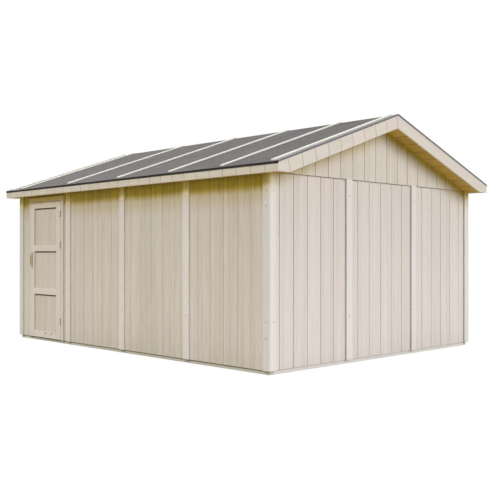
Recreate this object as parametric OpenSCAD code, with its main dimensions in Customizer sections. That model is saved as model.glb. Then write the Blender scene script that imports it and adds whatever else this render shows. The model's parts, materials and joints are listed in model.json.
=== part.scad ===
// Timber garage built from wall elements, with a low gable roof and a side door.
// Millimetres, +Z up, origin on the ground under the middle of the building.
// +Y is the rear gable, +X the long wall with the side door, -Y the vehicle doors.

/* [Overall] */
// Width over the corner boards
body_w = 3835; // [3400:5:4400]
// Length over the corner boards
body_l = 5060; // [4600:5:6000]
// Height of the lower edge of the wall boards
clad_z = 40; // [30:1:70]
// Height of the top of the wall elements
wall_top = 2050; // [2035:1:2300]

/* [Walls] */
// Thickness of the wall boards
board_t = 18; // [14:1:24]
// Depth of the studs behind the boards
stud_d = 42; // [36:1:70]
// Width of a stud
stud_w = 45; // [36:1:60]
// Height of a frame rail
rail_h = 45; // [36:1:70]
// Joint between neighbouring wall elements
joint_gap = 2; // [1.5:0.5:4]
// Play between pieces that fit between or lie on each other
fit_gap = 0.3; // [0.2:0.1:0.6]
// Number of elements in a long wall
side_elements = 4; // [3:1:4]
// Number of elements in the rear wall
end_elements = 3; // [2:1:4]
// Thickness of the cover strips and corner boards
trim_t = 19; // [15:1:24]
// Width of a cover strip over a joint
strip_w = 100; // [80:1:120]
// Width of a corner board
corner_w = 96; // [80:1:120]
// Width of the sill timbers
sill_w = 70; // [60:1:80]
// How far the sill stands back from the trim face
sill_inset = 27; // [22:1:34]
// Height of the plate on top of the walls
plate_h = 30; // [24:1:45]

/* [Roof] */
// Pitch of both slopes in degrees
roof_pitch = 19; // [18:0.5:24]
// Height of the felt at the eave edge above the top of the walls
eave_rise = 81; // [78:1:110]
// Overhang of the eave past the trim face
eave_out = 102; // [80:1:160]
// Overhang of the verge past the trim face
verge_out = 213; // [120:1:300]
// Thickness of the roof boards
roof_board_t = 20; // [16:1:25]
// Thickness of the felt
felt_t = 5; // [3:1:8]
// Thickness of the felt where it turns down over an edge
felt_turn = 4; // [3:1:8]
// Depth of the felt turned down at the eave
felt_drip = 20; // [12:1:30]
// Depth of the felt turned down at the verge
felt_lip = 15; // [10:1:20]
// Height of the foot of fascia and barge boards below the top of the walls
foot_drop = 20; // [10:1:40]
// Thickness of the fascia boards
fascia_t = 20; // [16:1:25]
// Thickness of the barge boards
barge_t = 20; // [16:1:25]
// Upright height of a barge board
barge_h = 155; // [125:1:180]
// Thickness of the soffit boards
soffit_t = 15; // [12:1:20]
// Height of the soffits above the lower edge of fascia and barge boards
soffit_lift = 3; // [2:1:10]
// Width of a batten on the felt
batten_w = 45; // [30:1:60]
// Height of a batten above the felt
batten_h = 15; // [10:1:30]
// Distance from the verge to the verge battens
batten_inset = 95; // [60:1:140]
// Distance along the width from the eave edge to the tip of a batten
batten_setback = 45; // [30:1:120]
// Bay between the rear verge batten and the next one
batten_bay = 750; // [600:10:850]
// Short bay between the last field batten and the front verge batten
batten_last = 251; // [150:1:300]
// Number of battens between the verge battens of a slope
field_battens = 5; // [3:1:5]
// Width of rafters and tie beams
rafter_w = 45; // [36:1:60]
// Depth of a rafter square to the slope
rafter_d = 120; // [110:1:145]
// Thickness of the ridge board
ridge_t = 32; // [24:1:45]
// Height of the ridge board
ridge_h = 170; // [140:1:200]
// Height of a tie beam
tie_h = 100; // [80:1:120]

/* [Side door] */
// Width of the door with its casing
door_unit_w = 914; // [840:1:1000]
// How far the door stands from the middle of its element, towards the rear
door_shift = 35; // [0:1:70]
// Height of the top of the casing below the top of the walls
casing_drop = 44; // [30:1:80]
// Width of the upright casing on the hinge side, seen from the front
jamb_w = 60; // [50:1:75]
// Width of the upright casing on the lock side, seen from the front
lock_jamb_w = 28; // [24:1:60]
// Height of the casing over the leaf
head_h = 65; // [50:1:80]
// Clearance around a leaf
leaf_gap = 6; // [5:0.5:8]
// Thickness of a leaf
leaf_t = 40; // [36:1:44]
// How far the door stop reaches into the opening
stop_w = 15; // [12:1:22]
// Height of the threshold strip behind the leaf
threshold_h = 22; // [18:1:30]
// Width of the upright frame members of a leaf
stile_w = 112; // [90:1:130]
// Height of the top rail of a leaf
top_rail_h = 80; // [70:1:110]
// Height of the middle rails of a leaf
mid_rail_h = 90; // [70:1:110]
// Height of the bottom rail of a leaf
bottom_rail_h = 90; // [70:1:150]
// Number of panels in a leaf
panel_count = 3; // [2:1:4]
// Thickness of the panels in a leaf
panel_t = 14; // [10:1:18]
// How far the panels stand back from the outer face
panel_recess = 18; // [8:1:20]

/* [Vehicle doors] */
// Width of the vehicle doors with their casing
gate_unit_w = 2400; // [2200:10:2600]
// Clearance of the vehicle doors above the ground
gate_ground_gap = 15; // [10:1:30]

/* [Ironmongery] */
// Length of a hinge
hinge_l = 78; // [66:3:120]
// Radius of a hinge knuckle
knuckle_r = 7; // [6:0.5:8]
// Radius of a hinge pin
pin_r = 3.5; // [3:0.25:4]
// Running clearance between pin and knuckle
pin_gap = 0.4; // [0.3:0.1:0.6]
// Gap between neighbouring knuckles
knuckle_gap = 1; // [0.5:0.5:2]
// Air between the knuckles and the face of the door
knuckle_air = 1; // [1:0.5:2]
// Thickness of a hinge plate
hinge_plate_t = 2; // [1.5:0.25:2]
// Depth of a hinge plate in the leaf's edge
hinge_plate_d = 32; // [24:1:36]
// Height of the middle of the lowest hinge
hinge_low_z = 294; // [220:1:360]
// Height of the middle of the middle hinge
hinge_mid_z = 1336; // [1100:1:1400]
// Height of the middle of the top hinge
hinge_top_z = 1759; // [1650:1:1780]
// Height of the middle of the handle plate
handle_z = 1127; // [950:1:1200]
// Length of the handle plate
handle_plate_l = 230; // [200:1:260]
// Width of the handle plate
handle_plate_w = 30; // [26:1:44]
// Thickness of the handle plate
handle_plate_t = 3; // [2:0.5:4]
// Length of the pull between its outer ends
pull_l = 130; // [110:1:160]
// How far the pull stands off the plate
pull_out = 30; // [24:1:45]
// Radius of the pull's bar
pull_r = 7; // [6:0.5:9]
// Radius of the posts that carry the pull
post_r = 6; // [4:0.5:8]

/* [Hidden] */
$fn = 40;
// Overlap that joins two shapes of one solid.
eps = 0.01;

trim_x = body_w / 2;
trim_y = body_l / 2;
clad_x = trim_x - trim_t;
clad_y = trim_y - trim_t;
wall_t = board_t + stud_d;
inner_x = clad_x - wall_t;
inner_y = clad_y - wall_t;
board_x = clad_x - board_t;
board_y = clad_y - board_t;

// Roof lines: every layer hangs plumb below the surface of the felt.
slope = tan(roof_pitch);
eave_x = trim_x + eave_out;
verge_y = trim_y + verge_out;
eave_top = wall_top + eave_rise;
ridge_z = eave_top + slope * eave_x;
felt_v = felt_t / cos(roof_pitch);
lay_v = fit_gap / cos(roof_pitch);
under_felt_v = felt_v + lay_v;
deck_v = under_felt_v + roof_board_t / cos(roof_pitch);
under_deck_v = deck_v + lay_v;
rafter_v = under_deck_v + rafter_d / cos(roof_pitch);
barge_v = under_felt_v + barge_h;
soffit_v = barge_v - soffit_lift;
batten_v = lay_v + batten_h / cos(roof_pitch);
foot_z = wall_top - foot_drop;
soffit_z = foot_z + soffit_lift;
plate_top = wall_top + plate_h;
fascia_x = eave_x - felt_turn;
barge_y = verge_y - felt_turn;
// Where the lower edge of a barge board turns level, and the inner faces of the boxed edges.
foot_in = (ridge_z - barge_v - foot_z) / slope;
inner_barge_y = barge_y - barge_t;
inner_fascia_x = fascia_x - fascia_t;

// Long wall elements: joints at equal steps between the end walls.
side_step = 2 * inner_y / side_elements;
end_step = 2 * clad_x / end_elements;

// Side door: in the element next to the vehicle doors, with the lock towards them.
bay_y = -inner_y + side_step / 2;
door_y = bay_y + door_shift;
leaf_w = door_unit_w - jamb_w - lock_jamb_w - 2 * leaf_gap;
leaf_y = door_y + (lock_jamb_w - jamb_w) / 2;
casing_top = wall_top - casing_drop;
leaf_top = casing_top - head_h - leaf_gap;
leaf_bottom = clad_z + leaf_gap;
hinge_axis_x = trim_x + knuckle_air + knuckle_r;
hinge_axis_y = leaf_y + leaf_w / 2 + leaf_gap / 2;
hinge_heights = [hinge_low_z, hinge_mid_z, hinge_top_z];
// Depth of a casing, and where its stops begin behind the leaf.
casing_d = trim_t + wall_t;
stop_y = leaf_t + leaf_gap;

// Vehicle doors: two leaves that meet in the middle of the front.
gate_leaf_w = (gate_unit_w - 2 * jamb_w - 3 * leaf_gap) / 2;
gate_leaf_x = (gate_leaf_w + leaf_gap) / 2;

// Rafters stand at the two ends and over the joints of the long walls.
end_rafter_y = clad_y - rafter_w / 2;
rafter_ys = concat(
    [-end_rafter_y],
    [for (i = [1 : side_elements - 1]) -inner_y + i * side_step],
    [end_rafter_y]);

// Rear faces of the battens, from the rear verge to the front verge. Each bay between
// field battens is wider than the one before by the same step.
first_face = verge_y - batten_inset;
last_face = -verge_y + batten_inset + batten_w;
field_run = first_face - last_face - batten_last;
bay_step = (field_run / field_battens - batten_bay) * 2 / (field_battens - 1);
batten_faces = concat(
    [for (i = [0 : field_battens]) first_face - i * batten_bay - bay_step * i * (i - 1) / 2],
    [last_face]);

timber = [0.86, 0.81, 0.72];
timber_shade = [0.76, 0.68, 0.55];
felt_grey = [0.36, 0.36, 0.38];
batten_white = [0.93, 0.92, 0.86];
metal = [0.6, 0.58, 0.5];

// ---- helpers -------------------------------------------------------------

// A box given by its lowest and highest corners.
module block(lo, hi) {
    translate(lo) cube(hi - lo);
}

// Extrudes an outline drawn in X and Z from y0 to y1.
module along_y(y0, y1) {
    translate([0, y1, 0]) rotate([90, 0, 0]) linear_extrude(y1 - y0) children();
}

// Height of the felt's surface over x.
function roof_z(x) = ridge_z - slope * abs(x);

// Outline of a layer between two plumb depths below the felt, for x0 <= x <= x1.
module roof_layer(x0, x1, top_v, bottom_v) {
    polygon([
        [x0, roof_z(x0) - top_v], [x1, roof_z(x1) - top_v],
        [x1, roof_z(x1) - bottom_v], [x0, roof_z(x0) - bottom_v]]);
}

// The same children on both long sides, or on both ends.
module both_sides() {
    children();
    mirror([1, 0, 0]) children();
}

module both_ends() {
    children();
    mirror([0, 1, 0]) children();
}

// Turns a front-face layout (x across, -y outwards) onto the +X wall, with its middle at y.
module on_door_wall(y) {
    translate([trim_x, y, 0]) rotate([0, 0, 90]) children();
}

module on_front_wall(x = 0) {
    translate([x, -trim_y, 0]) children();
}

// ---- walls ---------------------------------------------------------------

module side_sill() {
    block([trim_x - sill_inset - sill_w, -trim_y + sill_inset, 0],
          [trim_x - sill_inset, trim_y - sill_inset, clad_z]);
}

module side_sills() {
    color(timber_shade) both_sides() side_sill();
}

module end_sills() {
    end_x = trim_x - sill_inset - sill_w;
    sill_y = trim_y - sill_inset;
    color(timber_shade) {
        block([-end_x, sill_y - sill_w, 0], [end_x, sill_y, clad_z]);
        both_sides()
            block([gate_unit_w / 2, -sill_y, 0], [end_x, -sill_y + sill_w, clad_z]);
    }
}

// Boards of one element in the +X wall, between two places along y.
module side_boards(y0, y1) {
    block([board_x, y0 + joint_gap / 2, clad_z], [clad_x, y1 - joint_gap / 2, wall_top]);
}

module door_side_wall_boards() {
    color(timber)
        for (i = [1 : side_elements - 1])
            side_boards(-inner_y + i * side_step, -inner_y + (i + 1) * side_step);
}

module far_side_wall_boards() {
    color(timber)
        mirror([1, 0, 0])
            for (i = [0 : side_elements - 1])
                side_boards(-inner_y + i * side_step, -inner_y + (i + 1) * side_step);
}

// Boards of one element in the rear wall, between two places along x.
module end_boards(x0, x1) {
    block([x0 + joint_gap / 2, board_y, clad_z], [x1 - joint_gap / 2, clad_y, wall_top]);
}

module rear_wall_boards() {
    color(timber)
        for (i = [0 : end_elements - 1])
            end_boards(-clad_x + i * end_step, -clad_x + (i + 1) * end_step);
}

module front_pier_boards() {
    color(timber)
        both_sides() mirror([0, 1, 0])
            end_boards(gate_unit_w / 2 - joint_gap / 2, clad_x);
}

// Wall boards between the joints of the door element and the casing.
module door_bay_boards() {
    color(timber) {
        side_boards(bay_y - side_step / 2, door_y - door_unit_w / 2 + joint_gap / 2);
        side_boards(door_y + door_unit_w / 2 - joint_gap / 2, bay_y + side_step / 2);
    }
}

module door_bay_head_boards() {
    color(timber)
        block([board_x, door_y - door_unit_w / 2, casing_top],
              [clad_x, door_y + door_unit_w / 2, wall_top]);
}

module front_lintel_boards() {
    color(timber)
        block([-gate_unit_w / 2, -clad_y, casing_top],
              [gate_unit_w / 2, -board_y, wall_top]);
}

// Two studs of one element, one at each joint.
module side_stud_pair(y0, y1) {
    for (y = [y0 + joint_gap / 2, y1 - joint_gap / 2 - stud_w])
        block([inner_x, y, clad_z], [board_x, y + stud_w, wall_top]);
}

module side_studs() {
    color(timber_shade) {
        for (i = [1 : side_elements - 1])
            side_stud_pair(-inner_y + i * side_step, -inner_y + (i + 1) * side_step);
        side_stud_pair(bay_y - side_step / 2, bay_y + side_step / 2);
        mirror([1, 0, 0])
            for (i = [0 : side_elements - 1])
                side_stud_pair(-inner_y + i * side_step, -inner_y + (i + 1) * side_step);
    }
}

module end_stud_pair(x0, x1) {
    for (x = [x0 + joint_gap / 2, x1 - joint_gap / 2 - stud_w])
        block([x, inner_y, clad_z], [x + stud_w, board_y, wall_top]);
}

module end_studs() {
    color(timber_shade) {
        for (i = [0 : end_elements - 1])
            end_stud_pair(-clad_x + i * end_step, -clad_x + (i + 1) * end_step);
        both_sides() mirror([0, 1, 0])
            end_stud_pair(gate_unit_w / 2 - joint_gap / 2, clad_x);
    }
}

// Heights of the undersides of the frame rails.
rail_zs = [clad_z, (clad_z + wall_top - rail_h) / 2, wall_top - rail_h];
stud_in = joint_gap / 2 + stud_w;

module side_rail_set(y0, y1) {
    for (z = rail_zs)
        block([inner_x, y0 + stud_in + fit_gap, z],
              [board_x, y1 - stud_in - fit_gap, z + rail_h]);
}

module side_rails() {
    color(timber_shade) {
        for (i = [1 : side_elements - 1])
            side_rail_set(-inner_y + i * side_step, -inner_y + (i + 1) * side_step);
        mirror([1, 0, 0])
            for (i = [0 : side_elements - 1])
                side_rail_set(-inner_y + i * side_step, -inner_y + (i + 1) * side_step);
    }
}

module end_rail_set(x0, x1) {
    for (z = rail_zs)
        block([x0 + stud_in + fit_gap, inner_y, z],
              [x1 - stud_in - fit_gap, board_y, z + rail_h]);
}

module end_rails() {
    color(timber_shade) {
        for (i = [0 : end_elements - 1])
            end_rail_set(-clad_x + i * end_step, -clad_x + (i + 1) * end_step);
        both_sides() mirror([0, 1, 0])
            end_rail_set(gate_unit_w / 2 - joint_gap / 2, clad_x);
    }
}

// ---- trims ---------------------------------------------------------------

module side_strip(y) {
    block([clad_x, y - strip_w / 2, clad_z], [trim_x, y + strip_w / 2, plate_top]);
}

module door_side_cover_strips() {
    color(timber)
        for (i = [1 : side_elements - 1]) side_strip(-inner_y + i * side_step);
}

module far_side_cover_strips() {
    color(timber)
        mirror([1, 0, 0])
            for (i = [1 : side_elements - 1]) side_strip(-inner_y + i * side_step);
}

module rear_cover_strips() {
    color(timber)
        for (i = [1 : end_elements - 1]) {
            x = -clad_x + i * end_step;
            block([x - strip_w / 2, clad_y, clad_z], [x + strip_w / 2, trim_y, wall_top]);
        }
}

// Boards on the long walls, out to the very corner.
module side_corner_boards() {
    color(timber)
        both_sides() both_ends()
            block([clad_x, trim_y - corner_w, clad_z], [trim_x, trim_y, wall_top]);
}

// Boards on the gable walls, against the back of the side corner boards.
module gable_corner_boards() {
    color(timber)
        both_sides() both_ends()
            block([trim_x - corner_w, clad_y, clad_z], [clad_x, trim_y, wall_top]);
}

// Gable boards, in line with the cover strips and over the corner boards.
module gable_boards() {
    color(timber)
        along_y(clad_y, trim_y)
            polygon([
                [-trim_x, wall_top], [trim_x, wall_top],
                [trim_x, roof_z(trim_x) - under_deck_v],
                [0, ridge_z - under_deck_v],
                [-trim_x, roof_z(trim_x) - under_deck_v]]);
}

module rear_gable_boards() {
    gable_boards();
}

module front_gable_boards() {
    mirror([0, 1, 0]) gable_boards();
}

// ---- roof frame ----------------------------------------------------------

module side_wall_plates() {
    color(timber_shade)
        both_sides() block([inner_x, -clad_y, wall_top], [clad_x, clad_y, plate_top]);
}

module end_wall_plates() {
    color(timber_shade)
        both_ends() block([-inner_x, inner_y, wall_top], [inner_x, clad_y, plate_top]);
}

module ridge_board() {
    half = ridge_t / 2;
    peak = ridge_z - under_deck_v;
    color(timber_shade)
        along_y(-clad_y, clad_y)
            polygon([
                [-half, peak - ridge_h], [half, peak - ridge_h],
                [half, peak - slope * half], [0, peak], [-half, peak - slope * half]]);
}

// A rafter bears on the wall plate with a level cut and runs out to the fascia.
module rafter_outline() {
    x0 = ridge_t / 2;
    x1 = inner_fascia_x;
    seat_x = (ridge_z - rafter_v - plate_top) / slope;
    polygon([
        [x0, roof_z(x0) - under_deck_v], [x1, roof_z(x1) - under_deck_v],
        [x1, plate_top], [seat_x, plate_top],
        [x0, roof_z(x0) - rafter_v]]);
}

module rafters() {
    color(timber_shade)
        both_sides()
            for (y = rafter_ys)
                along_y(y - rafter_w / 2, y + rafter_w / 2) rafter_outline();
}

// Tie beams fit between the undersides of a pair of rafters.
module tie_beams() {
    low_x = (ridge_z - rafter_v - lay_v - plate_top) / slope;
    high_x = low_x - tie_h / slope;
    color(timber_shade)
        for (y = rafter_ys)
            along_y(y - rafter_w / 2, y + rafter_w / 2)
                polygon([
                    [-low_x, plate_top], [low_x, plate_top],
                    [high_x, plate_top + tie_h], [-high_x, plate_top + tie_h]]);
}

// Boards that close the eave between the rafters.
module eave_blocks() {
    color(timber_shade)
        both_sides()
            for (i = [0 : len(rafter_ys) - 2])
                along_y(rafter_ys[i] + rafter_w / 2, rafter_ys[i + 1] - rafter_w / 2)
                    polygon([
                        [board_x, plate_top], [clad_x, plate_top],
                        [clad_x, roof_z(clad_x) - under_deck_v],
                        [board_x, roof_z(board_x) - under_deck_v]]);
}

// ---- roof covering -------------------------------------------------------

module roof_boards() {
    color(timber_shade)
        along_y(-inner_barge_y, inner_barge_y)
            roof_layer(fit_gap / 2, inner_fascia_x - fit_gap, under_felt_v, deck_v);
}

module door_side_roof_boards() {
    roof_boards();
}

module far_side_roof_boards() {
    mirror([1, 0, 0]) roof_boards();
}

// Felt over the boards, with its edge strips over the fascia and the barge boards.
module felt() {
    strip_y = barge_y - fit_gap;
    color(felt_grey) {
        along_y(-verge_y, verge_y) roof_layer(0, eave_x, 0, felt_v);
        along_y(-strip_y, strip_y)
            polygon([
                [fascia_x, roof_z(fascia_x) - under_felt_v], [eave_x, eave_top - under_felt_v],
                [eave_x, eave_top - felt_drip], [fascia_x, eave_top - felt_drip]]);
        both_ends()
            along_y(barge_y, verge_y) roof_layer(0, eave_x, under_felt_v, felt_lip);
    }
}

module door_side_felt() {
    felt();
}

module far_side_felt() {
    mirror([1, 0, 0]) felt();
}

module battens() {
    color(batten_white)
        for (y = batten_faces)
            along_y(y - batten_w, y)
                roof_layer(joint_gap / 2, eave_x - batten_setback, -batten_v, -lay_v);
}

module door_side_battens() {
    battens();
}

module far_side_battens() {
    mirror([1, 0, 0]) battens();
}

module eave_fascias() {
    x0 = inner_fascia_x;
    color(timber)
        both_sides()
            along_y(-inner_barge_y, inner_barge_y)
                polygon([
                    [x0, foot_z], [fascia_x - fit_gap, foot_z],
                    [fascia_x - fit_gap, roof_z(fascia_x) - under_felt_v],
                    [x0, roof_z(x0) - under_felt_v]]);
}

// Level boards that close the eaves between the walls and the fascias.
module eave_soffits() {
    end_y = inner_barge_y - fit_gap;
    color(timber_shade)
        both_sides()
            block([trim_x + fit_gap, -end_y, soffit_z],
                  [inner_fascia_x - fit_gap, end_y, soffit_z + soffit_t]);
}

// Boards that close a slope's verge between the gable boards and the barge board:
// one along the slope and a short level one over the corner of the walls.
module verge_soffit() {
    y0 = trim_y + fit_gap;
    y1 = inner_barge_y - fit_gap;
    color(timber_shade) {
        along_y(y0, y1)
            roof_layer(fit_gap / 2, foot_in, soffit_v - soffit_t / cos(roof_pitch), soffit_v);
        block([foot_in + fit_gap, y0, soffit_z], [trim_x, y1, soffit_z + soffit_t]);
    }
}

module rear_verge_soffits() {
    both_sides() verge_soffit();
}

module front_verge_soffits() {
    mirror([0, 1, 0]) both_sides() verge_soffit();
}

// A barge board with its foot cut level with the fascia.
module barge_board() {
    x0 = fit_gap / 2;
    x1 = fascia_x - fit_gap;
    color(timber)
        along_y(inner_barge_y, barge_y - fit_gap)
            polygon([
                [x0, roof_z(x0) - under_felt_v], [x1, roof_z(x1) - under_felt_v],
                [x1, foot_z], [foot_in, foot_z], [x0, roof_z(x0) - barge_v]]);
}

module rear_barge_door_side() {
    barge_board();
}

module rear_barge_far_side() {
    mirror([1, 0, 0]) barge_board();
}

module front_barge_door_side() {
    mirror([0, 1, 0]) barge_board();
}

module front_barge_far_side() {
    mirror([1, 0, 0]) mirror([0, 1, 0]) barge_board();
}

// ---- doors, drawn facing -Y with the trim face at y = 0 --------------------

// Upright casing of width w up to x = outer, and the stop planted on it behind the leaf.
module jamb(outer, w, z0) {
    inner = outer - w;
    top = casing_top - head_h;
    block([inner, 0, z0], [outer, casing_d, top]);
    block([inner - stop_w, stop_y, z0], [inner - fit_gap, casing_d, top]);
}

// Both uprights of an opening, the one at -x with a width of its own.
module jamb_pair(unit_w, left_w, z0) {
    color(timber) {
        jamb(unit_w / 2, jamb_w, z0);
        mirror([1, 0, 0]) jamb(unit_w / 2, left_w, z0);
    }
}

// Casing over the leaf, and its stop between those of the uprights.
module casing_head(unit_w, left_w) {
    low = casing_top - head_h;
    stop_in = stop_w + fit_gap;
    color(timber) {
        block([-unit_w / 2, 0, low], [unit_w / 2, casing_d, casing_top]);
        block([-unit_w / 2 + left_w + stop_in, stop_y, low - stop_w],
              [unit_w / 2 - jamb_w - stop_in, casing_d, low - fit_gap]);
    }
}

module leaf_stiles(w, z0, z1) {
    color(timber)
        both_sides() block([w / 2 - stile_w, 0, z0], [w / 2, leaf_t, z1]);
}

// Height of each panel between the rails of a leaf.
function panel_h(z0, z1) =
    (z1 - z0 - top_rail_h - bottom_rail_h - (panel_count - 1) * mid_rail_h) / panel_count;

module leaf_rails(w, z0, z1) {
    half = w / 2 - stile_w - fit_gap;
    p = panel_h(z0, z1);
    color(timber) {
        block([-half, 0, z0], [half, leaf_t, z0 + bottom_rail_h]);
        for (i = [1 : panel_count - 1]) {
            z = z0 + bottom_rail_h + i * p + (i - 1) * mid_rail_h;
            block([-half, 0, z], [half, leaf_t, z + mid_rail_h]);
        }
        block([-half, 0, z1 - top_rail_h], [half, leaf_t, z1]);
    }
}

module leaf_panels(w, z0, z1) {
    half = w / 2 - stile_w - fit_gap;
    p = panel_h(z0, z1);
    color(timber)
        for (i = [0 : panel_count - 1]) {
            z = z0 + bottom_rail_h + i * (p + mid_rail_h);
            block([-half, panel_recess, z + fit_gap],
                  [half, panel_recess + panel_t, z + p - fit_gap]);
        }
}

module door_jambs() {
    on_door_wall(door_y) jamb_pair(door_unit_w, lock_jamb_w, clad_z);
}

module door_head() {
    on_door_wall(door_y) casing_head(door_unit_w, lock_jamb_w);
}

module door_threshold() {
    half = leaf_w / 2 + leaf_gap - stop_w;
    color(timber_shade)
        on_door_wall(leaf_y)
            block([-half, stop_y, clad_z], [half, casing_d, clad_z + threshold_h]);
}

module door_stiles() {
    on_door_wall(leaf_y) leaf_stiles(leaf_w, leaf_bottom, leaf_top);
}

module door_rails() {
    on_door_wall(leaf_y) leaf_rails(leaf_w, leaf_bottom, leaf_top);
}

module door_panels() {
    on_door_wall(leaf_y) leaf_panels(leaf_w, leaf_bottom, leaf_top);
}

// Hinge axis at the origin, door to -Y, outside to +X. Three knuckles share the length.
knuckle_l = (hinge_l - 2 * knuckle_gap) / 3;

module knuckle(z) {
    translate([0, 0, z]) cylinder(r = knuckle_r, h = knuckle_l);
}

// Plate in the gap, and its wing that reaches the knuckle.
module hinge_plate(side) {
    y0 = side > 0 ? leaf_gap / 2 - hinge_plate_t : -leaf_gap / 2;
    face = -knuckle_air - knuckle_r;
    block([face - hinge_plate_d, y0, -hinge_l / 2],
          [face - knuckle_air, y0 + hinge_plate_t, hinge_l / 2]);
}

module hinge_wing(side, z) {
    y0 = side > 0 ? leaf_gap / 2 - hinge_plate_t : -leaf_gap / 2;
    face = -knuckle_air - knuckle_r;
    block([face - knuckle_air - eps, y0, z],
          [-pin_r - pin_gap - eps, y0 + hinge_plate_t, z + knuckle_l]);
}

module frame_hinge() {
    low = -hinge_l / 2;
    high = hinge_l / 2 - knuckle_l;
    knuckle(low);
    knuckle(high);
    translate([0, 0, low]) cylinder(r = pin_r, h = hinge_l);
    hinge_plate(1);
    hinge_wing(1, low);
    hinge_wing(1, high);
}

module leaf_hinge() {
    difference() {
        union() {
            knuckle(-knuckle_l / 2);
            hinge_wing(-1, -knuckle_l / 2);
        }
        cylinder(r = pin_r + pin_gap, h = hinge_l, center = true);
    }
    hinge_plate(-1);
}

module at_hinges() {
    for (z = hinge_heights) translate([hinge_axis_x, hinge_axis_y, z]) children();
}

module door_frame_hinges() {
    color(metal) at_hinges() frame_hinge();
}

module door_leaf_hinges() {
    color(metal) at_hinges() leaf_hinge();
}

// Handle plates on both faces of a leaf, at x on the -Y facing layout.
module handle_plate(x, y) {
    block([x - handle_plate_w / 2, y, handle_z - handle_plate_l / 2],
          [x + handle_plate_w / 2, y + handle_plate_t, handle_z + handle_plate_l / 2]);
}

// Upright pull on two posts that stand on the plate.
module pull(x) {
    reach = pull_out - pull_r;
    bar_y = -handle_plate_t - reach;
    foot_z_off = pull_l / 2 - pull_r;
    color(metal) {
        translate([x, bar_y, handle_z - pull_l / 2]) cylinder(r = pull_r, h = pull_l);
        for (z = [-foot_z_off, foot_z_off])
            translate([x, -handle_plate_t, handle_z + z])
                rotate([90, 0, 0]) cylinder(r = post_r, h = reach);
    }
}

// Middle of the lock stile of the side door, from the middle of its leaf.
lock_stile_x = (stile_w - leaf_w) / 2;

module door_plates() {
    color(metal)
        on_door_wall(leaf_y)
            for (y = [-handle_plate_t, leaf_t]) handle_plate(lock_stile_x, y);
}

module door_pull() {
    on_door_wall(leaf_y) pull(lock_stile_x);
}

// ---- vehicle doors -------------------------------------------------------

module at_gate_leaves() {
    for (x = [-gate_leaf_x, gate_leaf_x]) on_front_wall(x) children();
}

module gate_jambs() {
    on_front_wall() jamb_pair(gate_unit_w, jamb_w, 0);
}

module gate_head() {
    on_front_wall() casing_head(gate_unit_w, jamb_w);
}

module gate_stiles() {
    at_gate_leaves() leaf_stiles(gate_leaf_w, gate_ground_gap, leaf_top);
}

module gate_rails() {
    at_gate_leaves() leaf_rails(gate_leaf_w, gate_ground_gap, leaf_top);
}

module gate_panels() {
    at_gate_leaves() leaf_panels(gate_leaf_w, gate_ground_gap, leaf_top);
}

// Closed hinges: knuckles on the face over the gap, plate through the gap.
module gate_hinges() {
    axis_x = gate_unit_w / 2 - jamb_w - leaf_gap / 2;
    axis_y = -trim_y - knuckle_air - knuckle_r;
    color(metal)
        both_sides()
            for (z = hinge_heights) translate([axis_x, axis_y, z]) {
                cylinder(r = knuckle_r, h = hinge_l, center = true);
                block([-leaf_gap / 2, 0, -hinge_l / 2],
                      [leaf_gap / 2, knuckle_air + knuckle_r + hinge_plate_d, hinge_l / 2]);
            }
}

module gate_pull() {
    x = leaf_gap / 2 + stile_w / 2;
    on_front_wall() {
        color(metal) handle_plate(x, -handle_plate_t);
        pull(x);
    }
}

side_sills();
end_sills();
door_side_wall_boards();
far_side_wall_boards();
rear_wall_boards();
front_pier_boards();
door_bay_boards();
door_bay_head_boards();
front_lintel_boards();
side_studs();
end_studs();
side_rails();
end_rails();
door_side_cover_strips();
far_side_cover_strips();
rear_cover_strips();
side_corner_boards();
gable_corner_boards();
rear_gable_boards();
front_gable_boards();
side_wall_plates();
end_wall_plates();
ridge_board();
rafters();
tie_beams();
eave_blocks();
door_side_roof_boards();
far_side_roof_boards();
door_side_felt();
far_side_felt();
door_side_battens();
far_side_battens();
eave_fascias();
eave_soffits();
rear_verge_soffits();
front_verge_soffits();
rear_barge_door_side();
rear_barge_far_side();
front_barge_door_side();
front_barge_far_side();
door_jambs();
door_head();
door_threshold();
door_frame_hinges();
door_stiles();
door_rails();
door_panels();
door_leaf_hinges();
door_plates();
door_pull();
gate_jambs();
gate_head();
gate_stiles();
gate_rails();
gate_panels();
gate_hinges();
gate_pull();
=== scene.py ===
import json
import math
import random

import bmesh
import bpy
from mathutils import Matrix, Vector, noise


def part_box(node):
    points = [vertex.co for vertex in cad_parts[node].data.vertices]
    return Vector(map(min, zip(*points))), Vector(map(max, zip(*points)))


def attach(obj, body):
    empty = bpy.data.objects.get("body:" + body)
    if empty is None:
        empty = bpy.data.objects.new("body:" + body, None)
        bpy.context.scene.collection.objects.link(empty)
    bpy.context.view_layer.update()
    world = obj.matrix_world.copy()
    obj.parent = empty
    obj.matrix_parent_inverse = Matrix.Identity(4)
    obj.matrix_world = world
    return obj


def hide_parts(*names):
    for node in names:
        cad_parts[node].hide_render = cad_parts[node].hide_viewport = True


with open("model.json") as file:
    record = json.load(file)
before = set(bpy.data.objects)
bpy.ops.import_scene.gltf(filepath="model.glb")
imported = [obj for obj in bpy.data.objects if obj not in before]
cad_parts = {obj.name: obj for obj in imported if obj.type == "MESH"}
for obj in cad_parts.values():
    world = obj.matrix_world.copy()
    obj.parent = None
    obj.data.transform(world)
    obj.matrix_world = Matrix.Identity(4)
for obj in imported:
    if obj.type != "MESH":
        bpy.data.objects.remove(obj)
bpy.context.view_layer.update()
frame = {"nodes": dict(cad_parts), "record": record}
chance = random.Random(19)

# ---- sizes in metres -----------------------------------------------------------

ROOF_PITCH = math.radians(19)
SLOPE = math.tan(ROOF_PITCH)
RIDGE_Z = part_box("door_side_felt")[1].z
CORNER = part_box("side_corner_boards")[1]

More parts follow.
